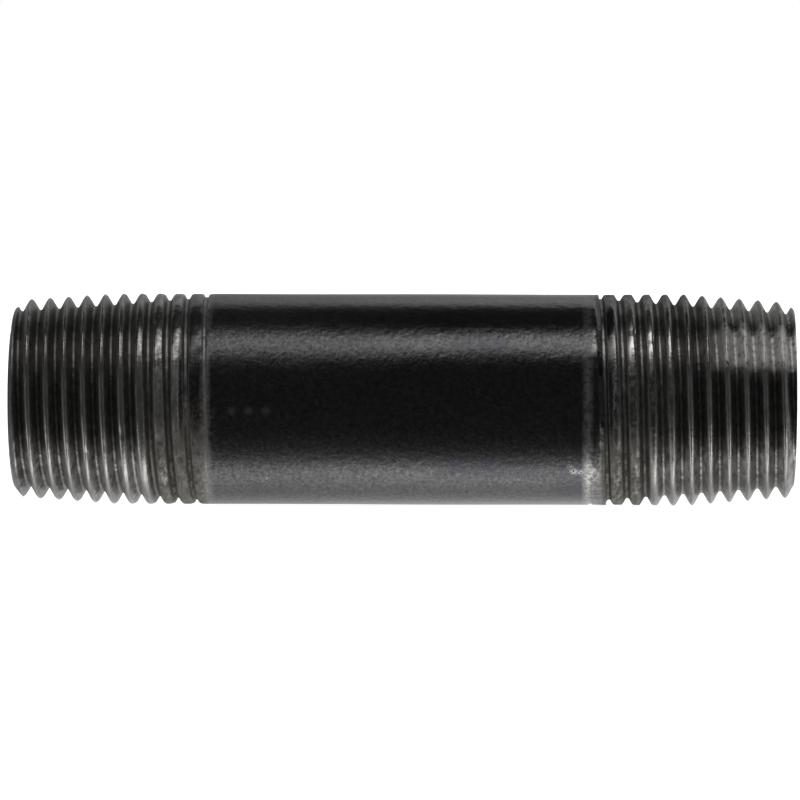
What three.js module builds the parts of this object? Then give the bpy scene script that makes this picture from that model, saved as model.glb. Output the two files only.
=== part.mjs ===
// Threaded pipe nipple, nominal 1/2 in by 3 in: one length of black steel pipe with a tapered,
// right-hand pipe thread on each end and a plain barrel between them.
// Millimetres. +X runs along the pipe, +Z is up, and the origin is on the bore's axis at mid-length.
import * as THREE from "three";
import { mergeVertices } from "three/addons/utils/BufferGeometryUtils.js";

// Pipe
const INCH = 25.4;
const LENGTH = 3 * INCH;
const OUTER_RADIUS = 10.37;
const WALL = 2.7;
const BORE_RADIUS = OUTER_RADIUS - WALL;
const REAM = 0.4; // inner chamfer left by reaming the bore, along and across
const RIM_RADIUS = 8.9; // outside of the end face, inside the outer chamfer
const RIM_SLOPE = 1.3; // rise of the outer chamfer for each millimetre along the pipe

// Thread form: a 60 degree V of 14 turns to the inch, cut short at its crest and its root
const PITCH = INCH / 14;
const HALF_FLANK = Math.tan(THREE.MathUtils.degToRad(30));
const THREAD_HEIGHT = 0.62 * PITCH;
const ROOT_FLAT = 0.142 * PITCH;
const FADE = PITCH / 3; // the cut leaves the pipe over this much travel, a third of a turn

// Thread of each end. Lengths run inwards from the end face, and depths inwards from the barrel.
// side: -1 or 1 along X; firstCrest: the outermost crest on top of the pipe; rootDepth: at the face;
// taper: loss of depth for each millimetre; fullLength: where the run-out starts;
// cutLength and cutDepth: where the run-out stops, and how deep it still is there
const LEFT = {
  side: -1,
  firstCrest: 1.5,
  rootDepth: 1.75,
  taper: 0.0645,
  fullLength: 10.8,
  cutLength: 18.8,
  cutDepth: 0.33,
};
const RIGHT = {
  side: 1,
  firstCrest: 1.67,
  rootDepth: 1.9,
  taper: 0.0753,
  fullLength: 16,
  cutLength: 19.4,
  cutDepth: 0.38,
};

// Mesh: columns of points round the pipe, and rows along it that follow the thread
const COLUMNS = 32;
const ROWS_PER_TURN = 4;
const SPARE_TURNS = 2; // past each end of a thread, so that its first and last rows lie on a plane
const SNAP = PITCH / COLUMNS / 2; // a row this near a plane is put on it
const FACET = 1 / Math.cos(Math.PI / COLUMNS); // facets touch the round surface at their middles
const MERGE_DISTANCE = 1e-4;

const inwards = (end, x) => LENGTH / 2 - end.side * x;

// Depth of the thread's root below the barrel at a distance from the end face.
function rootDepth(end, distance) {
  const fullDepth = (at) => end.rootDepth - end.taper * at;
  if (distance < end.fullLength) return fullDepth(distance);
  if (distance < end.cutLength)
    return THREE.MathUtils.mapLinear(
      distance,
      end.fullLength,
      end.cutLength,
      fullDepth(end.fullLength),
      end.cutDepth,
    );
  return end.cutDepth * Math.max(0, 1 - (distance - end.cutLength) / FADE);
}

// Depth of the thread's crest below the barrel, which is zero past the cone that the crests lie on.
function crestDepth(end, distance) {
  return Math.max(0, end.rootDepth - end.taper * distance - THREAD_HEIGHT);
}

// One turn's groove at one angle: crest edge, root edge, root edge, crest edge, as [x, radius].
function groove(end, turn, angle) {
  const crest = end.side * (LENGTH / 2 - end.firstCrest);
  const travel = (angle - Math.PI / 2) / (2 * Math.PI);
  const middle = crest + PITCH * (turn + 0.5 + travel);
  const distance = inwards(end, middle);
  const depth = rootDepth(end, distance);
  const height = Math.max(0, depth - crestDepth(end, distance));
  const rootHalf = ROOT_FLAT / 2;
  const crestHalf = rootHalf + height * HALF_FLANK;
  const crestPoint = (x) => [x, OUTER_RADIUS - crestDepth(end, inwards(end, x))];
  return [
    crestPoint(middle - crestHalf),
    [middle - rootHalf, OUTER_RADIUS - depth],
    [middle + rootHalf, OUTER_RADIUS - depth],
    crestPoint(middle + crestHalf),
  ];
}

// Keeps a row of points between two planes: those outside move onto the plane, at the height there.
function between(points, low, high) {
  const radiusAt = (x) => {
    const next = points.findIndex((point) => point[0] >= x);
    if (next < 0) return points.at(-1)[1];
    if (next === 0) return points[0][1];
    const [before, after] = [points[next - 1], points[next]];
    return THREE.MathUtils.mapLinear(x, before[0], after[0], before[1], after[1]);
  };
  return points.map(([x, radius]) => {
    if (x < low + SNAP) return [low, radiusAt(low)];
    if (x > high - SNAP) return [high, radiusAt(high)];
    return [x, radius];
  });
}

// The outside of one thread at one angle, from low x to high x.
function threadColumn(end, angle) {
  const innerPlane = LENGTH / 2 - end.cutLength - FADE - ROOT_FLAT;
  const turns = Math.ceil((end.cutLength + FADE) / PITCH) + 2 * SPARE_TURNS;
  const firstTurn = end.side < 0 ? -SPARE_TURNS : SPARE_TURNS - turns;
  const points = [];
  for (let turn = firstTurn; turn < firstTurn + turns; turn++) points.push(...groove(end, turn, angle));
  const low = end.side < 0 ? -LENGTH / 2 : innerPlane;
  const high = end.side < 0 ? -innerPlane : LENGTH / 2;
  return between(points, low, high).map(([x, radius]) => {
    const chamfer = RIM_RADIUS + RIM_SLOPE * inwards(end, x);
    return [x, Math.min(radius, chamfer)];
  });
}

// The bore with its reamed mouths, from high x back to low x.
function boreColumn() {
  return [
    [LENGTH / 2, BORE_RADIUS + REAM],
    [LENGTH / 2 - REAM, BORE_RADIUS],
    [REAM - LENGTH / 2, BORE_RADIUS],
    [-LENGTH / 2, BORE_RADIUS + REAM],
  ];
}

// The whole pipe as a closed skin. A thread's rows climb one turn each time they go round, so where
// the last column meets the first, its rows join those one turn further on.
function nippleGeometry() {
  const positions = [];
  const ends = [LEFT, RIGHT];
  let threadRows = [];
  for (let column = 0; column < COLUMNS; column++) {
    const angle = (2 * Math.PI * (column + 0.5)) / COLUMNS;
    const threads = ends.map((end) => threadColumn(end, angle));
    threadRows = threads.map((rows) => rows.length);
    for (const [x, radius] of [...threads.flat(), ...boreColumn()])
      positions.push(x, radius * FACET * Math.cos(angle), radius * FACET * Math.sin(angle));
  }
  const rows = positions.length / 3 / COLUMNS;
  const climbed = (row) => {
    const [leftRows, rightRows] = threadRows;
    if (row < leftRows) return Math.min(row + ROWS_PER_TURN, leftRows - 1);
    if (row < leftRows + rightRows) return Math.min(row + ROWS_PER_TURN, leftRows + rightRows - 1);
    return row;
  };
  const vertex = (column, row) =>
    column < COLUMNS ? column * rows + (row % rows) : climbed(row % rows);
  const faces = [];
  for (let column = 0; column < COLUMNS; column++)
    for (let row = 0; row < rows; row++) {
      const corner = vertex(column, row);
      const opposite = vertex(column + 1, row + 1);
      faces.push(corner, vertex(column + 1, row), opposite);
      faces.push(corner, opposite, vertex(column, row + 1));
    }
  const skin = new THREE.BufferGeometry();
  skin.setAttribute("position", new THREE.Float32BufferAttribute(positions, 3));
  skin.setIndex(faces);
  return withoutEmptyFaces(mergeVertices(skin, MERGE_DISTANCE));
}

// Rows that lie together on a plane leave faces with no area, which are dropped here.
function withoutEmptyFaces(geometry) {
  const index = geometry.index.array;
  const kept = [];
  for (let i = 0; i < index.length; i += 3) {
    const [a, b, c] = index.subarray(i, i + 3);
    if (a !== b && b !== c && c !== a) kept.push(a, b, c);
  }
  geometry.setIndex(kept);
  geometry.computeVertexNormals();
  return geometry;
}

const blackSteel = new THREE.MeshStandardMaterial({
  color: 0x1b1b1d,
  roughness: 0.42,
  metalness: 0.6,
});

const nipple = new THREE.Mesh(nippleGeometry(), blackSteel);
nipple.name = "pipe_nipple";

const part = new THREE.Group();
part.add(nipple);

export default part;
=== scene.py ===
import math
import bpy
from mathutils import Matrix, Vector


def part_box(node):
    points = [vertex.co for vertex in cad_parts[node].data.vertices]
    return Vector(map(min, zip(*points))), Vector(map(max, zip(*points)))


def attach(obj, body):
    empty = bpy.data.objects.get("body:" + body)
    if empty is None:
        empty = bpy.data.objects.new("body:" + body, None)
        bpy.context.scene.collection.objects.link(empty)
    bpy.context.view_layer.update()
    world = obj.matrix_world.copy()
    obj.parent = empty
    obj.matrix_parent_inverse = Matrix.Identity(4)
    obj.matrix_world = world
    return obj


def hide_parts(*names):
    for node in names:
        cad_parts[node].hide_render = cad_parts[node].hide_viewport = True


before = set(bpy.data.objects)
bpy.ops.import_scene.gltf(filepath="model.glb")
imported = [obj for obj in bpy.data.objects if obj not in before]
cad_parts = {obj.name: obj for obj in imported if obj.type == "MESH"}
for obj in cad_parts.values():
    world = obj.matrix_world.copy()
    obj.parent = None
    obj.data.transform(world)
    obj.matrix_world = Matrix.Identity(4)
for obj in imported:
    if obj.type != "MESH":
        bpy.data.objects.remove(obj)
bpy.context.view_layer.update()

# Looks of a threaded pipe nipple: a fine mesh of the same pipe as the CAD node, with its threads,
# barrel, end faces and bore, under one material of black lacquer worn to steel. Lengths are in metres
# where nothing says mm. Degrees round the pipe are about +X, from +Y.
from types import SimpleNamespace

import bpy
import numpy as np
from mathutils import Vector

low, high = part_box("pipe_nipple")
MM = 0.001

# Pipe, with its length and radius from the frame. The ream opens out the mouth of the bore. The rim's
# chamfer has its radius at the end's face, and widens by the slope along the pipe.
LENGTH = high.x - low.x
RADIUS = high.z
RESTING_HEIGHT = low.z
WALL = 2.7 * MM
BORE_RADIUS = RADIUS - WALL
REAM = 0.4 * MM
RIM_RADIUS = 8.9 * MM
RIM_SLOPE = 1.3

# Thread form, as in the CAD part
PITCH = 25.4 * MM / 14
HALF_FLANK = math.tan(math.radians(30))
THREAD_HEIGHT = 0.62 * PITCH
ROOT_FLAT = 0.142 * PITCH
FADE = PITCH / 3

# Rounded crests: how far the edge of a land drops, the width of that edge, the thread height that has
# it in full, and the share of a groove's half width that it takes
CREST_ROUND = 0.09 * MM
CREST_EDGE = 0.15 * MM
ROUNDED_HEIGHT = 0.5 * THREAD_HEIGHT
ROUNDED_SHARE = 0.2

# The two ends. Lengths are from the end's face and depths are below the barrel. The burr is the ring
# where the cut ends, with its shine where it is dull and where it is polished. Rim chips are degrees,
# half width in degrees and depth.
LEFT = {
    "side": -1,
    "first_crest": 1.5 * MM,
    "root_depth": 1.75 * MM,
    "taper": 0.0645,
    "full_length": 10.8 * MM,
    "cut_length": 18.8 * MM,
    "cut_depth": 0.33 * MM,
    "bare_length": 16.8 * MM,
    "burr": 19.2 * MM,
    "burr_shine": (0.2, 0.4),
    "rim_chips": ((262, 4, 0.2 * MM), (128, 3, 0.15 * MM), (20, 5, 0.25 * MM)),
}
RIGHT = {
    "side": 1,
    "first_crest": 1.67 * MM,
    "root_depth": 1.9 * MM,
    "taper": 0.0753,
    "full_length": 16 * MM,
    "cut_length": 19.4 * MM,
    "cut_depth": 0.38 * MM,
    "bare_length": 17.8 * MM,
    "burr": 20.15 * MM,
    "burr_shine": (0.13, 0.75),
    "rim_chips": (
        (223, 9, 0.4 * MM),
        (140, 3, 0.2 * MM),
        (184, 2.5, 0.15 * MM),
        (310, 6, 0.25 * MM),
    ),
}

# Slow unevenness of the pipe and of its bore, as depth and number of waves. The waves' lengths are in
# mm, and the lobes that they have round the pipe stay below the second number.
PIPE_RIPPLE = (0.11 * MM, 7)
BORE_RIPPLE = (0.05 * MM, 5)
RIPPLE_MM = (9, 34)
RIPPLE_LOBES = (0, 5)

# Nicks in the crests of each end: number, share of the thread that has them, size and depth in mm, and
# how far down a flank they fade out
NICK_COUNT = 70
NICK_REACH = 0.9
NICK_SIZE_MM = (0.15, 0.5)
NICK_DEPTH_MM = (0.04, 0.16)
NICK_FADE = 0.3 * MM

# Torn spots on the last lands: the waves that make them up, their depth and its upper limit, the turns
# that they cover, and the length over which they stop
CHATTER_WAVES = 14
CHATTER_MM = (0.9, 3)
CHATTER_LOBES = (9, 42)
CHATTER_DEPTH = 0.045 * MM
CHATTER_LIMIT = 1.5
CHATTER_TURNS = 2.4
CHATTER_STOP = 0.3 * MM

# Bead of the pipe's weld, along the bore
WELD_DEGREES = 70
WELD_HEIGHT = 0.28 * MM
WELD_HALF_WIDTH = 0.7 * MM
WELD_FADE = 2 * MM

# Mesh: columns go round the pipe and rows along it. Groove steps are shares of a groove's half width,
# and face steps are shares of the way from the rim to the bore.
COLUMNS = 168
GROOVE_HALF = [0.14, 0.3, 0.48, 0.66, 0.84, 0.94, 1]
GROOVE_STEPS = np.array([-step for step in reversed(GROOVE_HALF)] + [0] + GROOVE_HALF)
LAND_STEPS = np.array([-1, 0, 1])
LAND_EDGE_ROW = 0.6 * CREST_EDGE
ROWS_PER_TURN = len(GROOVE_STEPS) + len(LAND_STEPS)
SPARE_TURNS = 2
BARREL_ROWS = 56
BORE_ROWS = 44
FACE_STEPS = np.array([0.05, 0.3, 0.6, 0.95, 1])
MERGE_DISTANCE = 1e-8
NO_DIVISION_BY_ZERO = 1e-9

# Attributes that the mesh carries for the material, and the soft edges of where they hold
ATTRIBUTES = ("crest", "cut", "end", "face", "bore")
CREST_WEAR = 0.065 * MM
BARE_EDGE = 0.3 * MM
RIM_EDGE = 0.05 * MM
MOUTH_EDGE = 0.5 * MM

# Colours of the skin, from the lacquer to bare and dusty steel
LACQUER = (0.0012, 0.0012, 0.0014, 1)
LACQUER_THIN = (0.0055, 0.0053, 0.0056, 1)
LACQUER_TOUCHED = (0.013, 0.013, 0.012, 1)
RUST = (0.022, 0.009, 0.006, 1)
MILL_SCALE = (0.03, 0.026, 0.024, 1)
BLUISH_FILM = (0.044, 0.0415, 0.052, 1)
# This dark steel is the colour of tarnish, and also of the painted shade on the crests that dims their
# highlights.
TARNISH_AND_SHADE = (0.055, 0.052, 0.05, 1)
DUST = (0.1, 0.094, 0.082, 1)
GRIME = (0.1, 0.097, 0.082, 1)
TARNISH_THIN = (0.19, 0.185, 0.18, 1)
STEEL = (0.34, 0.333, 0.325, 1)
STEEL_DUSTY = (0.6, 0.59, 0.58, 1)

# Places on the pipe: x and half length in mm, degrees and half width in degrees. A place fades out
# from one share of its half length, or of its half width, to another.
PLACE_ENDS = (1.25, 0.75)
PLACE_SIDES = (1.3, 0.7)
WORN_FLANKS = (
    (34.0, 5.0, 138, 23),
    (30.0, 12.0, 232, 26),
    (-30.0, 12.0, 232, 26),
    (-33.0, 8.0, 20, 40),
    (27.0, 7.0, 330, 45),
)
GRIMY_PLACES = ((-21.6, 2.6, 232, 34), (21.6, 2.4, 236, 34), (24.0, 5.0, 65, 40))
DULL_PLACES = ((-22.3, 2.4, 190, 26), (23.4, 3.6, 186, 26))
# Painted shade: the crests darker all along the bottom, which dims their highlight there.
SHADED_CRESTS_BELOW = (0.0, 50.0, 238, 34)
POLISHED_BURR = (0.0, LENGTH / MM, 236, 28)
BURR_HALF_WIDTH_MM = 0.62

# Marks that the fine noise breaks up: their places, then two levels of the noise and the mark's
# strength at each
MARKS = {
    "rubbed": (((35.0, 5.0, 122, 25),), (0.42, 0.56, 0.35, 1.0)),
    "frosted": (((35.5, 5.0, 144, 13),), (0.38, 0.52, 0.2, 1.0)),
    # Darker crests: those at -33, -24 and 29.5 mm are painted shade that dims the softbox's highlight on
    # them; the others make the crests darker all along the top and on the right lands in front.
    "tarnish_and_shade": (
        (
            (0.0, 50.0, 90, 38),
            (-24.0, 4.5, 125, 30),
            (-33.0, 6.0, 140, 22),
            (22.0, 4.5, 185, 28),
            (29.5, 2.6, 140, 20),
        ),
        (0.56, 0.44, 0.45, 0.75),
    ),
    "mottled": (((-21.8, 2.4, 230, 26), (-26.0, 6.0, 350, 50)), (0.58, 0.42, 0.0, 1.0)),
    "scuffed": (
        (
            (-20.3, 1.2, 230, 24),
            (19.2, 1.2, 233, 22),
            (19.0, 0.7, 145, 8),
            (20.7, 0.5, 146, 9),
            (-19.5, 1.0, 60, 40),
        ),
        (0.42, 0.58, 0.0, 0.7),
    ),
    "rusty": (((-19.6, 1.6, 196, 16), (26.0, 4.0, 45, 25)), (0.42, 0.6, 0.0, 1.0)),
    "bluish": (((7.8, 2.4, 147, 9), (9.0, 5.5, 218, 7), (17.0, 2.2, 231, 16)), (0.38, 0.65, 0.0, 1.0)),
}

# Small round marks: x in mm, degrees and radius in mm, with a core that is a share of the radius
SPOT_CORE = 0.3
TOUCH_MARKS = tuple((x, 184.5, 0.55) for x in (-16.3, -14.7, -13.0))
CHIPPED_MARKS = (
    (16.6, 220, 0.7),
    (17.3, 221, 0.5),
    (16.2, 216, 0.35),
    (-4.0, 236, 0.3),
    (-13.0, 226, 0.25),
)

# Noises over the skin: features to a mm along the pipe, the share of that round it, detail and
# roughness. Turning marks are rings, which have no share.
NOISES = {
    "fine": (2.2, 1.0, 5.0, 0.6),
    "grain": (6.0, 1.0, 3.0, 0.6),
    "blotch": (0.45, 1.0, 4.0, 0.6),
    "lines": (4.0, 0.12, 4.0, 0.7),
    "streaks": (2.4, 0.45, 4.0, 0.65),
    "peel": (1.2, 1.0, 4.0, 0.6),
    "gloss": (3.0, 1.0, 4.0, 0.7),
}
TURNING_MARKS = (9.0, 3.0, 0.6)

# Ramps over a noise or an attribute: two levels of it, then the result at each, where that isn't 0 and 1
CREST_WORN_TO = (0.35, 0.65, 0.1, 0.55)
THREADED_FROM = (0.04, 0.25)
ROOT_FROM = (0.72, 0.96)
ROOT_BREAKS = (0.38, 0.6, 0.95, 0.4)
BURR_BREAKS = (0.4, 0.52, 0.4, 1.0)
WORN_BLOTCHES = (0.3, 0.55, 0.4, 1.0)
WORN_STREAKS = (0.4, 0.62)
GRIME_STREAKS = (0.38, 0.58, 0.1, 1.0)
PACKED_FROM = (0.01, 0.06)
OUT_OF_GROOVES = (0.02, 0.0)
CHIP_BREAKS = (0.46, 0.54)
SAWN_BLOTCHES = (0.32, 0.5, 0.55, 1.0)
THIN_LACQUER = (0.42, 0.75)
THIN_LACQUER_LINES = (0.35, 0.6, 0.3, 1.0)
TARNISH_STREAKS = (0.35, 0.65, 0.3, 0.9)
STEEL_LINES = (0.35, 0.65)
GLOSS_LEVELS = (0.35, 0.65, 0.3, 0.75)

# How softly a crest's bare steel begins, how strongly some marks show, and how far they aren't metal
CREST_SOFTNESS = 0.4
# Strength of the painted shade that darkens the crests along the bottom
SHADED_CRESTS_BELOW_SHARE = 0.42
FROST_COVER = 0.6
RUST_COVER = 0.5
SCALE_COVER = 0.9
THREAD_METAL = 0.95
DUST_IN_MARKS = {"rusty": 0.8, "frosted": 0.35, "grimy": 0.1, "packed": 0.1}

# Gloss: the lacquer's index, then roughness as ramps over a noise or x in mm and what each mark adds
LACQUER_IOR = 1.5
LACQUER_ROUGHNESS = (0.3, 0.7, 0.14, 0.2)
LEFT_ROUGHNESS = (2, -12, 0.0, 0.08)
CREST_ROUGHNESS = (0.3, 0.7, 0.27, 0.19)
DULL_ROUGHNESS = (0.42, 0.58, 0.08, 0.3)
SAWN_ROUGHNESS = 0.36
ADDED_ROUGHNESS = {"soiled": 0.3, "frosted": 0.25, "burr": 0.1}
THREAD_ROUGHNESS = 0.12

# Bump: depth, and the share of it that each pattern has. The tool has torn the flanks from a groove's
# edge down.
BUMP_DEPTH = 0.04 * MM
BUMP_SHARES = {"peel": 0.7, "lines": 0.25, "fine": 0.7}
TORN_SHARE = 0.6
TORN_FROM = (0.0, 0.05)
TURNING_SHARE = 0.5

# Floor
FLOOR_HALF = 3.0
PAPER_WHITE = (0.8, 0.8, 0.8, 1)
PAPER_GLOW = 0.96
WHITE = (1, 1, 1, 1)

# Brightness of the studio round the pipe: degrees up from the camera's side and over the top, then the
# level on the left and on the right
STUDIO = (
    (-180, 0.56, 0.8),
    (-150, 0.72, 1.04),
    (-118, 0.9, 1.35),
    (-99, 2.0, 2.7),
    (-92, 2.05, 4.4),
    (-83, 2.05, 4.6),
    (-74, 1.3, 1.9),
    (-66, 0.66, 0.62),
    (-52, 0.27, 0.16),
    (-32, 0.11, 0.095),
    (45, 0.08, 0.085),
    (80, 0.052, 0.07),
    (124, 0.05, 0.07),
    (130, 0.7, 1.04),
    (138, 0.62, 0.92),
    (151, 0.3, 0.43),
    (180, 0.42, 0.58),
)

# X of a direction: the limits between which the left values change to the right ones, and those
# between which the studio changes to its sides
LEFT_TO_RIGHT = (-0.1, 0.06)
ROOM_TO_SIDES = (0.9, 0.98)
SIDES = 0.28

# Softbox over the pipe: degrees between which it brightens and fades, with left and right values for
# the first, the level and how askew it hangs, then its half length and soft ends as X of a direction
SOFTBOX = {
    "from": (51, 55),
    "full": 62,
    "still_full": 76,
    "to": 81,
    "level": (2.3, 3.9),
    "askew": (-6, 1),
    "half_length": 0.45,
    "soft_ends": 0.25,
}

# Camera
CAMERA_DISTANCE = 0.51
CAMERA_SIDE = 0.0143
CAMERA_ELEVATION = math.radians(2)
CAMERA_ROLL = math.radians(0.09)
CAMERA_RANGE = 10
LENS = 234.1
AIM = (-0.0004, 0.0, -0.00007)

rng = np.random.default_rng(14)


# ---------------------------------------------------------------- thread
def inwards(end, x):
    """Distance along the pipe from that end's face."""
    return LENGTH / 2 - end["side"] * x


def root_depth(end, distance):
    """Depth of the thread's root below the barrel."""
    full = end["root_depth"] - end["taper"] * np.minimum(distance, end["full_length"])
    past_full = (distance - end["full_length"]) / (end["cut_length"] - end["full_length"])
    running_out = full + (end["cut_depth"] - full) * np.clip(past_full, 0, 1)
    leaving = np.clip(1 - (distance - end["cut_length"]) / FADE, 0, 1)
    return running_out * leaving


def crest_depth(end, distance):
    """Depth of the thread's crest below the barrel."""
    return np.maximum(0, end["root_depth"] - end["taper"] * distance - THREAD_HEIGHT)


def root_middles(end, angles):
    """X of the middle of the root, for each column and turn."""
    count = math.ceil((end["cut_length"] + FADE) / PITCH) + 2 * SPARE_TURNS
    first = -SPARE_TURNS if end["side"] < 0 else SPARE_TURNS - count
    turns = np.arange(first, first + count)
    travel = (angles - math.pi / 2) / (2 * math.pi)
    crest = end["side"] * (LENGTH / 2 - end["first_crest"])
    return crest + PITCH * (turns[None, :] + 0.5 + travel[:, None])


def thread_columns(end, angles):
    """One thread, a column for each angle: x, depth below the barrel, depth below the crest."""
    middle = root_middles(end, angles)[..., None]
    depth = root_depth(end, inwards(end, middle))
    height = np.maximum(0, depth - crest_depth(end, inwards(end, middle)))
    root_half = ROOT_FLAT / 2
    crest_half = root_half + height * HALF_FLANK
    most_rounding = CREST_ROUND * np.clip(height / ROUNDED_HEIGHT, 0, 1)

    groove_x = middle + crest_half * GROOVE_STEPS
    steps = np.abs(GROOVE_STEPS)
    share = np.clip((1 - steps) / (1 - root_half / crest_half + NO_DIVISION_BY_ZERO), 0, 1)
    edge = np.clip((steps - (1 - ROUNDED_SHARE)) / ROUNDED_SHARE, 0, 1)
    crest_line = crest_depth(end, inwards(end, groove_x))
    groove = crest_line + (depth - crest_line) * share + most_rounding * edge**2

    land_half = PITCH / 2 - crest_half
    off_middle = np.maximum(0.5 * land_half, land_half - LAND_EDGE_ROW) * LAND_STEPS
    land_x = middle + PITCH / 2 + off_middle
    edge = np.clip(1 - (land_half - np.abs(off_middle)) / CREST_EDGE, 0, 1)
    land = crest_depth(end, inwards(end, land_x)) + most_rounding * edge**2

    pairs = ((groove_x, land_x), (groove, land), (height * share, 0 * land))
    x, below, drop = (np.concatenate(pair, 2).reshape(len(angles), -1) for pair in pairs)
    inner = LENGTH / 2 - end["cut_length"] - FADE - ROOT_FLAT
    low_x = -LENGTH / 2 if end["side"] < 0 else inner
    high_x = -inner if end["side"] < 0 else LENGTH / 2
    return between(x, (below, drop), low_x, high_x)


def between(x, surface, low_x, high_x):
    """Moves what lies outside the two planes onto them, with the values that the surface has there."""
    snap = PITCH / COLUMNS / 2
    for column in range(len(x)):
        planes = ((low_x, x[column] < low_x + snap), (high_x, x[column] > high_x - snap))
        for plane, outside in planes:
            for values in surface:
                values[column][outside] = np.interp(plane, x[column], values[column])
            x[column][outside] = plane
    return x, *surface


# ---------------------------------------------------------------- pipe mesh
def angle_between(angle, other):
    """Angle from one direction round the pipe to another, from 0 to pi."""
    return np.abs((angle - other + math.pi) % (2 * math.pi) - math.pi)


def ripple(x, angle, size, waves):
    """A slow unevenness from 0 to size, which closes on itself round the pipe."""
    total = np.zeros(np.broadcast(x, angle).shape)
    for _ in range(waves):
        wavelength = rng.uniform(*RIPPLE_MM) * MM
        lobes = rng.integers(*RIPPLE_LOBES)
        phase = rng.uniform(0, 2 * math.pi)
        total = total + np.sin(2 * math.pi * x / wavelength + lobes * angle + phase)
    return size * (0.5 + 0.5 * total / waves)


def nicks(x, angle, end):
    """Small dents that handling has left in the thread's crests."""
    total = np.zeros(x.shape)
    for _ in range(NICK_COUNT):
        at = end["side"] * (LENGTH / 2 - rng.uniform(0, NICK_REACH) * end["cut_length"])
        around = rng.uniform(0, 2 * math.pi)
        width = rng.uniform(*NICK_SIZE_MM) * MM
        deep = rng.uniform(*NICK_DEPTH_MM) * MM
        away = angle_between(angle, around) * RADIUS
        total = np.maximum(total, deep * np.exp(-((x - at) ** 2 + away**2) / width**2))
    return total


def chatter(x, angle, end):
    """Torn spots that the tool has left on the lands where the thread runs out."""
    distance = inwards(end, x)
    starts = np.clip((distance - end["cut_length"]) / PITCH + CHATTER_TURNS, 0, 1)
    stops = np.clip((end["cut_length"] + FADE - distance) / CHATTER_STOP, 0, 1)
    total = np.zeros(x.shape)
    for _ in range(CHATTER_WAVES):
        wavelength = rng.choice([-1, 1]) * rng.uniform(*CHATTER_MM) * MM
        lobes = rng.integers(*CHATTER_LOBES)
        phase = rng.uniform(0, 2 * math.pi)
        total += np.sin(2 * math.pi * x / wavelength + lobes * angle + phase)
    torn = np.clip(total / math.sqrt(CHATTER_WAVES), 0, CHATTER_LIMIT)
    return CHATTER_DEPTH * starts * stops * torn


def rim_radius(end, distance, angle):
    """Radius of the chamfer at the rim, less where it is chipped."""
    radius = RIM_RADIUS + RIM_SLOPE * distance
    for degrees, half_width, depth in end["rim_chips"]:
        away = (np.degrees(angle) - degrees + 180) % 360 - 180
        radius = radius - depth * np.exp(-((away / half_width) ** 2))
    return radius


def threaded_end(end, angles):
    """Rows of one threaded end: x, radius and the attributes that drive the material."""
    around = angles[:, None]
    x, below, drop = thread_columns(end, angles)
    distance = inwards(end, x)
    dents = nicks(x, around, end) * np.exp(-drop / NICK_FADE)
    threads = RADIUS - below - dents - chatter(x, around, end)
    rim = rim_radius(end, distance, around)
    bare = np.clip((end["bare_length"] - distance) / BARE_EDGE, 0, 1)
    clear_of_rim = np.clip((rim - threads) / RIM_EDGE, 0, 1)
    return {
        "x": x,
        "radius": np.minimum(threads, rim),
        "crest": np.exp(-drop / CREST_WEAR) * bare * clear_of_rim,
        "cut": drop / THREAD_HEIGHT,
        "end": np.ones(x.shape),
    }


def face_rings(x, outside):
    """Rings from the rim to the mouth of the bore, on one end face."""
    inside = BORE_RADIUS + REAM
    radius = outside + (inside - outside) * FACE_STEPS
    return {"x": x + 0 * radius, "radius": radius, "face": np.ones(radius.shape)}


def bore_rows(around):
    """The bore, from the right mouth to the left one, with the bead of the pipe's weld along it."""
    half = LENGTH / 2
    deep = np.linspace(half - 2 * REAM, 2 * REAM - half, BORE_ROWS)
    x = np.concatenate([[half - REAM], deep, [REAM - half]])[None, :] + 0 * around
    to_face = half - np.abs(x)
    away = angle_between(around, math.radians(WELD_DEGREES)) * BORE_RADIUS
    bead = WELD_HEIGHT * np.exp(-((away / WELD_HALF_WIDTH) ** 2))
    bead = bead * np.clip((to_face - REAM) / WELD_FADE, 0, 1)
    radius = BORE_RADIUS - bead + ripple(x, around, *BORE_RIPPLE)
    return {"x": x, "radius": radius, "bore": np.ones(x.shape), "face": np.exp(-to_face / MOUTH_EDGE)}


def pipe_parts(angles):
    """The closed skin as rows along the pipe, out along the outside and back through the bore."""
    around = angles[:, None]
    left, right = (threaded_end(end, angles) for end in (LEFT, RIGHT))
    fraction = np.linspace(0, 1, BARREL_ROWS + 2)[1:-1]
    left_x, right_x = left["x"][:, -1:], right["x"][:, :1]
    barrel_x = left_x + (right_x - left_x) * fraction
    barrel = {"x": barrel_x, "radius": np.full(barrel_x.shape, RADIUS)}
    outer = [left, barrel, right]
    waves = ripple(np.concatenate([part["x"] for part in outer], 1), around, *PIPE_RIPPLE)
    start = 0
    for part in outer:
        count = part["x"].shape[1]
        part["radius"] = part["radius"] - waves[:, start : start + count]
        start += count
    right_face = face_rings(right["x"][:, -1:], right["radius"][:, -1:])
    left_face = face_rings(left["x"][:, :1], left["radius"][:, :1])
    left_face = {name: values[:, ::-1] for name, values in left_face.items()}
    return [left, barrel, right, right_face, bore_rows(around), left_face]


def joined(parts, name):
    """One value of all the parts side by side, as 0 in a part that doesn't have it."""
    return np.concatenate([part.get(name, np.zeros(part["x"].shape)) for part in parts], 1)


def skin_quads(parts):
    """Quads between the rows and columns, with the last column joined to the first one.

    Thread rows climb a turn each time round, so they join the first column a turn further on.
    """
    rows = [part["x"].shape[1] for part in parts]
    total = sum(rows)
    climbed = np.arange(total)
    for thread in (0, 2):
        start = sum(rows[:thread])
        end = start + rows[thread]
        climbed[start:end] = np.minimum(climbed[start:end] + ROWS_PER_TURN, end - 1)
    ids = np.vstack([np.arange(COLUMNS * total).reshape(COLUMNS, total), climbed])
    following = np.roll(ids, -1, axis=1)
    return np.stack([ids[:-1], ids[1:], following[1:], following[:-1]], 2).reshape(-1, 4)


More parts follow.
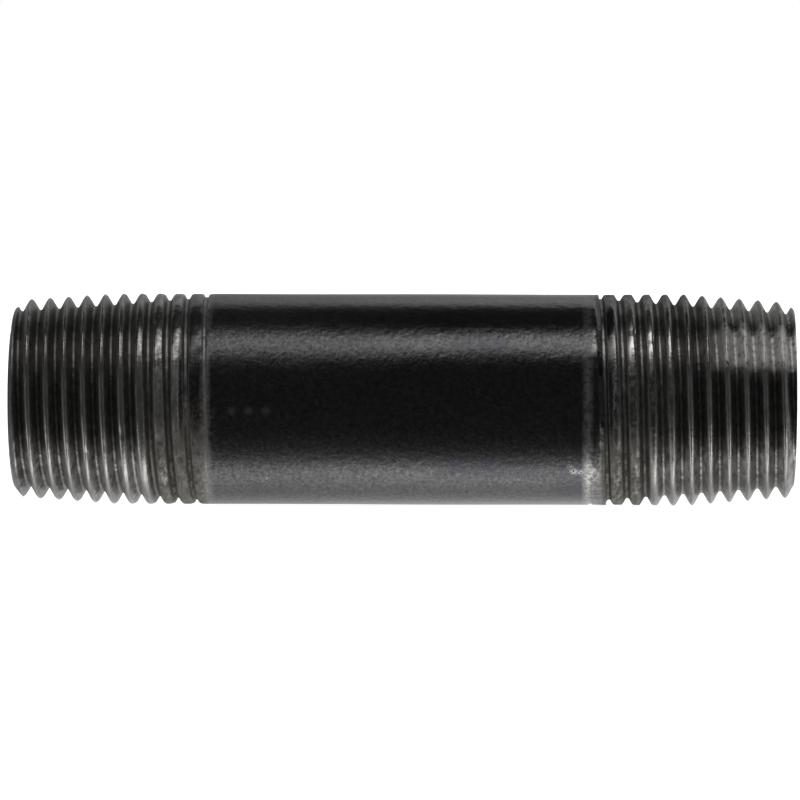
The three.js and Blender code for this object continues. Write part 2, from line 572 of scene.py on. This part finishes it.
def make_pipe():
    """Builds the mesh, with points that share a place merged into one."""
    angles = 2 * math.pi * (np.arange(COLUMNS) + 0.5) / COLUMNS
    parts = pipe_parts(angles)
    x, radius = joined(parts, "x"), joined(parts, "radius")
    around = angles[:, None]
    points = np.stack([x, radius * np.cos(around), radius * np.sin(around)], 2).reshape(-1, 3)
    rounded = np.round(points / MERGE_DISTANCE)
    _, first, merged = np.unique(rounded, axis=0, return_index=True, return_inverse=True)
    faces = []
    for quad in merged.reshape(-1)[skin_quads(parts)].tolist():
        face = [corner for i, corner in enumerate(quad) if corner != quad[i - 1]]
        if len(set(face)) >= 3:
            faces.append(face)
    mesh = bpy.data.meshes.new("pipe_nipple_fine")
    mesh.from_pydata(points[first].tolist(), [], faces)
    for name in ATTRIBUTES:
        values = joined(parts, name).reshape(-1)[first].astype(np.float32)
        mesh.attributes.new(name, "FLOAT", "POINT").data.foreach_set("value", values)
    mesh.shade_smooth()
    pipe = bpy.data.objects.new("pipe_nipple_fine", mesh)
    bpy.context.collection.objects.link(pipe)
    return pipe


# ---------------------------------------------------------------- material
class Nodes:
    """Short calls for building a node tree."""

    def __init__(self, tree):
        self.tree = tree

    def add(self, kind, **inputs):
        """Adds a node and feeds its inputs, with _ for the spaces in their names."""
        node = self.tree.nodes.new(kind)
        for name, value in inputs.items():
            self.feed(node.inputs[name.replace("_", " ")], value)
        return node

    def feed(self, socket, value):
        """Links a socket to an output, or sets it to a plain value."""
        if isinstance(value, bpy.types.NodeSocket):
            self.tree.links.new(value, socket)
        else:
            socket.default_value = value

    def math(self, operation, *values):
        node = self.tree.nodes.new("ShaderNodeMath")
        node.operation = operation
        for socket, value in zip(node.inputs, values):
            self.feed(socket, value)
        return node.outputs[0]

    def chain(self, operation, values):
        """Takes the values in one by one."""
        total, *others = values
        for value in others:
            total = self.math(operation, total, value)
        return total

    def times(self, *values):
        return self.chain("MULTIPLY", values)

    def plus(self, *values):
        return self.chain("ADD", values)

    def strongest(self, values):
        return self.chain("MAXIMUM", values)

    def attribute(self, name):
        node = self.tree.nodes.new("ShaderNodeAttribute")
        node.attribute_name = name
        return node.outputs["Fac"]

    def stretched(self, coordinates, scale):
        return self.add("ShaderNodeMapping", Vector=coordinates, Scale=scale).outputs[0]

    def noise(self, coordinates, scale, detail, roughness):
        noise = {"Scale": scale, "Detail": detail, "Roughness": roughness}
        return self.add("ShaderNodeTexNoise", Vector=coordinates, **noise).outputs["Fac"]

    def ramp(self, value, low_end, high_end, low_value=0.0, high_value=1.0):
        node = self.add("ShaderNodeMapRange")
        for socket, number in zip(node.inputs, (value, low_end, high_end, low_value, high_value)):
            self.feed(socket, number)
        return node.outputs[0]

    def mix(self, factor, first, second):
        node = self.tree.nodes.new("ShaderNodeMix")
        node.data_type = "RGBA"
        self.feed(node.inputs[0], factor)
        self.feed(node.inputs[6], first)
        self.feed(node.inputs[7], second)
        return node.outputs[2]


def skin_patterns(n):
    """What the marks and colours are made from: position in mm, noises and the mesh's attributes."""
    where = n.add("ShaderNodeTexCoord").outputs["Object"]
    mm = n.stretched(where, (1 / MM, 1 / MM, 1 / MM))
    axes = n.add("ShaderNodeSeparateXYZ", Vector=mm)
    skin = SimpleNamespace(mm=mm, x=axes.outputs["X"], y=axes.outputs["Y"], z=axes.outputs["Z"])
    squares = [n.math("POWER", axis, 2.0) for axis in (skin.y, skin.z)]
    skin.from_axis = n.math("SQRT", n.plus(*squares))
    for name, (scale, round_pipe, detail, roughness) in NOISES.items():
        stretched = n.stretched(where, (1 / MM, round_pipe / MM, round_pipe / MM))
        setattr(skin, name, n.noise(stretched, scale, detail, roughness))
    rings = n.add("ShaderNodeCombineXYZ", X=skin.from_axis).outputs[0]
    skin.turning = n.noise(rings, *TURNING_MARKS)
    for name in ATTRIBUTES:
        setattr(skin, name, n.attribute(name))
    return skin


def place(n, skin, x, half_length, degrees, half_degrees):
    """A soft-edged patch on the outside of the pipe."""
    off = n.math("ABSOLUTE", n.math("SUBTRACT", skin.x, x))
    along = n.ramp(off, *(half_length * share for share in PLACE_ENDS))
    across = n.times(skin.y, math.cos(math.radians(degrees)))
    upwards = n.times(skin.z, math.sin(math.radians(degrees)))
    facing = n.math("DIVIDE", n.plus(across, upwards), skin.from_axis)
    limits = (math.cos(math.radians(half_degrees * share)) for share in PLACE_SIDES)
    return n.times(along, n.ramp(facing, *limits))


def any_place(n, skin, places):
    """The strongest of several places at each point."""
    return n.strongest([place(n, skin, *one) for one in places])


def mark(n, skin, name):
    """A mark of one kind, at all its places, broken up by the fine noise."""
    places, breaks = MARKS[name]
    return n.times(any_place(n, skin, places), n.ramp(skin.fine, *breaks))


def ring(n, skin, end):
    """The narrow ring round the pipe where that end's cut ends, brighter where it is polished."""
    x = end["side"] * (LENGTH / 2 - end["burr"]) / MM
    off = n.math("ABSOLUTE", n.math("SUBTRACT", skin.x, x))
    shine = n.ramp(place(n, skin, *POLISHED_BURR), 0.0, 1.0, *end["burr_shine"])
    return n.times(n.ramp(off, BURR_HALF_WIDTH_MM, 0.0), shine)


def spot(n, skin, x, degrees, radius):
    """A round soft-edged mark on the outside of the pipe."""
    angle = math.radians(degrees)
    node = n.tree.nodes.new("ShaderNodeVectorMath")
    node.operation = "DISTANCE"
    n.feed(node.inputs[0], skin.mm)
    n.feed(node.inputs[1], (x, RADIUS / MM * math.cos(angle), RADIUS / MM * math.sin(angle)))
    return n.ramp(node.outputs["Value"], radius, SPOT_CORE * radius)


def skin_masks(n, skin):
    """What the skin is at a point, each from 0 to 1."""
    worn_to = n.ramp(skin.fine, *CREST_WORN_TO)
    worn = n.times(
        any_place(n, skin, WORN_FLANKS),
        n.ramp(skin.blotch, *WORN_BLOTCHES),
        n.ramp(skin.streaks, *WORN_STREAKS),
    )
    # Painted shade that darkens the crests all along the bottom.
    shaded_below = n.times(place(n, skin, *SHADED_CRESTS_BELOW), SHADED_CRESTS_BELOW_SHARE)
    fouled = n.times(any_place(n, skin, GRIMY_PLACES), skin.end)
    rings = n.strongest([ring(n, skin, end) for end in (LEFT, RIGHT)])
    chipped = n.strongest([spot(n, skin, *one) for one in CHIPPED_MARKS])
    return SimpleNamespace(
        crest=n.ramp(skin.crest, worn_to, n.plus(worn_to, CREST_SOFTNESS)),
        threaded=n.ramp(skin.cut, *THREADED_FROM),
        root=n.times(n.ramp(skin.cut, *ROOT_FROM), n.ramp(skin.fine, *ROOT_BREAKS)),
        burr=n.times(rings, n.ramp(skin.fine, *BURR_BREAKS)),
        worn=n.strongest([worn, mark(n, skin, "rubbed")]),
        frosted=mark(n, skin, "frosted"),
        # Crests darker from tarnish and mottling, and from painted shade that dims their highlights at
        # some places and all along the bottom.
        tarnish_and_shade=n.strongest([mark(n, skin, "tarnish_and_shade"), mark(n, skin, "mottled"), shaded_below]),
        scuffed=mark(n, skin, "scuffed"),
        grimy=n.times(fouled, n.ramp(skin.streaks, *GRIME_STREAKS)),
        packed=n.times(fouled, n.ramp(skin.cut, *PACKED_FROM)),
        dull=n.strongest([fouled, any_place(n, skin, DULL_PLACES)]),
        rusty=mark(n, skin, "rusty"),
        bluish=n.times(mark(n, skin, "bluish"), n.ramp(skin.cut, *OUT_OF_GROOVES)),
        touched=n.strongest([spot(n, skin, *one) for one in TOUCH_MARKS]),
        chipped=n.times(chipped, n.ramp(skin.grain, *CHIP_BREAKS)),
        sawn=n.times(skin.face, n.ramp(skin.blotch, *SAWN_BLOTCHES)),
        bore=skin.bore,
    )


def skin_colour(n, skin, masks):
    """Colours, from the lacquer up."""
    thin = n.times(n.ramp(skin.fine, *THIN_LACQUER), n.ramp(skin.lines, *THIN_LACQUER_LINES))
    coated = n.mix(n.ramp(skin.streaks, *TARNISH_STREAKS), TARNISH_AND_SHADE, TARNISH_THIN)
    flank = n.mix(masks.root, n.mix(masks.worn, coated, STEEL), TARNISH_AND_SHADE)
    bare = n.mix(n.ramp(skin.lines, *STEEL_LINES), TARNISH_THIN, STEEL)
    layers = (
        (masks.touched, LACQUER_TOUCHED),
        (masks.bluish, BLUISH_FILM),
        (masks.threaded, flank),
        # Crests of bare steel, darkened where tarnished and where painted shade dims their highlights.
        (masks.crest, n.mix(masks.tarnish_and_shade, bare, TARNISH_AND_SHADE)),
        (n.times(masks.frosted, FROST_COVER), STEEL_DUSTY),
        (masks.scuffed, TARNISH_THIN),
        (masks.burr, STEEL),
        (masks.chipped, TARNISH_THIN),
        (masks.grimy, GRIME),
        (masks.packed, DUST),
        (n.times(masks.rusty, RUST_COVER), RUST),
        (n.times(masks.bore, SCALE_COVER), MILL_SCALE),
        (masks.sawn, n.mix(n.ramp(skin.turning, *STEEL_LINES), TARNISH_THIN, STEEL)),
    )
    colour = n.mix(thin, LACQUER, LACQUER_THIN)
    for mask, layer in layers:
        colour = n.mix(mask, colour, layer)
    return colour


def skin_metal(n, masks):
    """How far the skin is metal: bare or tarnished steel, less the dust on it."""
    thread = n.times(masks.threaded, THREAD_METAL)
    bare = (masks.crest, masks.burr, masks.scuffed, masks.grimy, masks.bluish, masks.chipped)
    metal = n.strongest([thread, *bare, masks.sawn])
    dusty = n.strongest([n.times(getattr(masks, name), dust) for name, dust in DUST_IN_MARKS.items()])
    return n.times(metal, n.math("SUBTRACT", 1.0, dusty))


def skin_roughness(n, skin, masks):
    lacquer = n.plus(n.ramp(skin.blotch, *LACQUER_ROUGHNESS), n.ramp(skin.x, *LEFT_ROUGHNESS))
    rough = n.plus(lacquer, n.times(masks.threaded, THREAD_ROUGHNESS))
    rough = n.ramp(masks.crest, 0.0, 1.0, rough, n.ramp(skin.lines, *CREST_ROUGHNESS))
    soiled = n.strongest((masks.grimy, masks.rusty, masks.bore))
    rough = n.plus(
        rough,
        n.times(masks.dull, n.ramp(skin.fine, *DULL_ROUGHNESS)),
        n.times(soiled, ADDED_ROUGHNESS["soiled"]),
        n.times(masks.frosted, ADDED_ROUGHNESS["frosted"]),
        n.times(masks.burr, ADDED_ROUGHNESS["burr"]),
    )
    return n.ramp(masks.sawn, 0.0, 1.0, rough, SAWN_ROUGHNESS)


def skin_bump(n, skin, masks):
    """Fine relief: the lacquer's peel, torn flanks, and turning marks on the end faces."""
    patterns = [n.times(getattr(skin, name), share) for name, share in BUMP_SHARES.items()]
    torn = n.times(n.ramp(skin.cut, *TORN_FROM), n.times(skin.fine, TORN_SHARE))
    height = n.plus(*patterns, torn, n.times(skin.turning, masks.sawn, TURNING_SHARE))
    return n.add("ShaderNodeBump", Height=height, Strength=1.0, Distance=BUMP_DEPTH).outputs[0]


def black_steel():
    """Black lacquer over steel: bare on the crests, worn on some flanks, with residue at the run-outs."""
    material = bpy.data.materials.new("black_steel")
    material.use_nodes = True
    n = Nodes(material.node_tree)
    skin = skin_patterns(n)
    masks = skin_masks(n, skin)
    shader = material.node_tree.nodes["Principled BSDF"]
    n.feed(shader.inputs["Base Color"], skin_colour(n, skin, masks))
    n.feed(shader.inputs["Metallic"], skin_metal(n, masks))
    n.feed(shader.inputs["Roughness"], skin_roughness(n, skin, masks))
    n.feed(shader.inputs["Specular IOR Level"], n.ramp(skin.gloss, *GLOSS_LEVELS))
    n.feed(shader.inputs["Normal"], skin_bump(n, skin, masks))
    shader.inputs["IOR"].default_value = LACQUER_IOR
    return material


# ---------------------------------------------------------------- studio
def make_floor():
    """A plain white sheet, lit enough to stay white under the pipe."""
    mesh = bpy.data.meshes.new("floor")
    corners = ((-1, -1), (1, -1), (1, 1), (-1, 1))
    points = [(x * FLOOR_HALF, y * FLOOR_HALF, RESTING_HEIGHT) for x, y in corners]
    mesh.from_pydata(points, [], [(0, 1, 2, 3)])
    floor = bpy.data.objects.new("floor", mesh)
    bpy.context.collection.objects.link(floor)
    paper = bpy.data.materials.new("white_paper")
    paper.use_nodes = True
    shader = paper.node_tree.nodes["Principled BSDF"]
    shader.inputs["Base Color"].default_value = PAPER_WHITE
    shader.inputs["Roughness"].default_value = 1.0
    shader.inputs["Emission Color"].default_value = WHITE
    shader.inputs["Emission Strength"].default_value = PAPER_GLOW
    mesh.materials.append(paper)
    floor.visible_glossy = False


def surroundings(n, turn, side):
    """The studio's brightness at a direction, from the levels of side 1, the left, or 2, the right."""
    ramp = n.add("ShaderNodeValToRGB", Fac=n.ramp(turn, -180, 180))
    brightest = max(row[side] for row in STUDIO)
    stops = ramp.color_ramp.elements
    while len(stops) < len(STUDIO):
        stops.new(0.5)
    for stop, row in zip(stops, STUDIO):
        stop.position = (row[0] + 180) / 360
        stop.color = (row[side] / brightest,) * 3 + (1,)
    return n.times(ramp.outputs["Color"], brightest)


def softbox(n, turn, sideways, to_right):
    """The light that a long softbox over the pipe adds at a direction."""
    height = n.math("SUBTRACT", turn, n.ramp(to_right, 0.0, 1.0, *SOFTBOX["askew"]))
    lower_edge = n.ramp(height, n.ramp(to_right, 0.0, 1.0, *SOFTBOX["from"]), SOFTBOX["full"])
    upper_edge = n.ramp(height, SOFTBOX["to"], SOFTBOX["still_full"])
    ends = n.ramp(sideways, SOFTBOX["half_length"] + SOFTBOX["soft_ends"], SOFTBOX["half_length"])
    level = n.ramp(to_right, 0.0, 1.0, *SOFTBOX["level"])
    return n.times(n.times(lower_edge, upper_edge), n.times(ends, level))


def light_studio():
    """White behind the pipe for the camera; on the pipe, a long softbox overhead and a lit sheet below."""
    world = bpy.data.worlds.new("studio")
    world.use_nodes = True
    world.node_tree.nodes.clear()
    n = Nodes(world.node_tree)
    axes = n.add("ShaderNodeSeparateXYZ", Vector=n.add("ShaderNodeTexCoord").outputs["Generated"])
    to_right = n.ramp(axes.outputs["X"], *LEFT_TO_RIGHT)
    sideways = n.math("ABSOLUTE", axes.outputs["X"])
    turn = n.math("ARCTAN2", axes.outputs["Z"], n.times(axes.outputs["Y"], -1.0))
    turn = n.math("DEGREES", turn)
    open_room = n.ramp(to_right, 0.0, 1.0, surroundings(n, turn, 1), surroundings(n, turn, 2))
    room = n.ramp(sideways, *ROOM_TO_SIDES, open_room, SIDES)
    light = n.plus(room, softbox(n, turn, sideways, to_right))

    around = n.add("ShaderNodeBackground", Color=WHITE, Strength=light)
    behind = n.add("ShaderNodeBackground", Color=WHITE, Strength=1.0)
    chosen = n.add("ShaderNodeMixShader")
    n.feed(chosen.inputs[0], n.add("ShaderNodeLightPath").outputs["Is Camera Ray"])
    n.feed(chosen.inputs[1], around.outputs[0])
    n.feed(chosen.inputs[2], behind.outputs[0])
    output = n.add("ShaderNodeOutputWorld", Surface=chosen.outputs[0])
    output.is_active_output = True
    bpy.context.scene.world = world
    bpy.context.scene.view_settings.view_transform = "Standard"


def place_camera():
    data = bpy.data.cameras.new("camera")
    data.lens = LENS
    data.clip_end = CAMERA_RANGE
    camera = bpy.data.objects.new("camera", data)
    bpy.context.collection.objects.link(camera)
    up = CAMERA_DISTANCE * math.sin(CAMERA_ELEVATION)
    away = CAMERA_DISTANCE * math.cos(CAMERA_ELEVATION)
    camera.location = (CAMERA_SIDE, -away, up)
    towards = Vector(AIM) - camera.location
    camera.rotation_euler = towards.to_track_quat("-Z", "Y").to_euler()
    camera.rotation_euler.rotate_axis("Z", CAMERA_ROLL)
    bpy.context.scene.camera = camera


place_camera()
light_studio()
make_floor()
pipe = make_pipe()
pipe.data.materials.append(black_steel())
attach(pipe, "root")
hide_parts("pipe_nipple")
